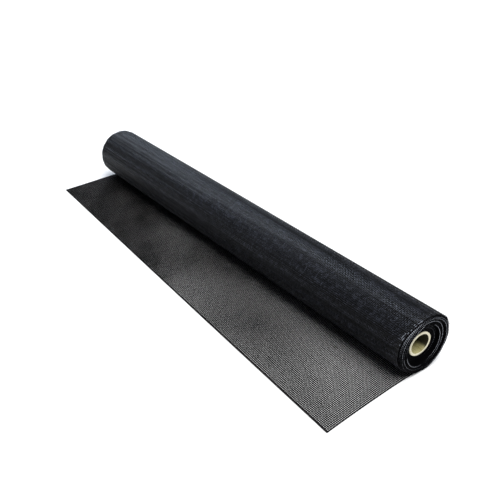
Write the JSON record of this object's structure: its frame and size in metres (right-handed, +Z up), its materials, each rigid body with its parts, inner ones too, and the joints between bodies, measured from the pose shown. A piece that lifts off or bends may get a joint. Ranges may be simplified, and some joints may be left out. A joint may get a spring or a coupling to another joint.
{
  "type": "window screen mesh roll",
  "caption": "Roll of black woven window screen mesh on an open cardboard core, resting on its underside with a loose end lying flat beside it.",
  "frame": {"origin": "middle of the bounding box at the surface the roll lies on", "axes": "+X along the roll toward the end the picture shows, +Y from the loose end toward the roll, +Z up from the surface"},
  "size_m": [0.6128, 0.1636, 0.0668],
  "materials": {
    "mesh_rolled": "coated yarn, many layers deep, faint lengthwise sheen",
    "mesh_flat": "open plain weave of coated yarn, matte",
    "cardboard": "plain wound paperboard"
  },
  "bodies": {
    "root": {"wound_roll": "mesh_rolled", "loose_end": "mesh_flat", "core_tube": "cardboard"}
  },
  "joints": []
}
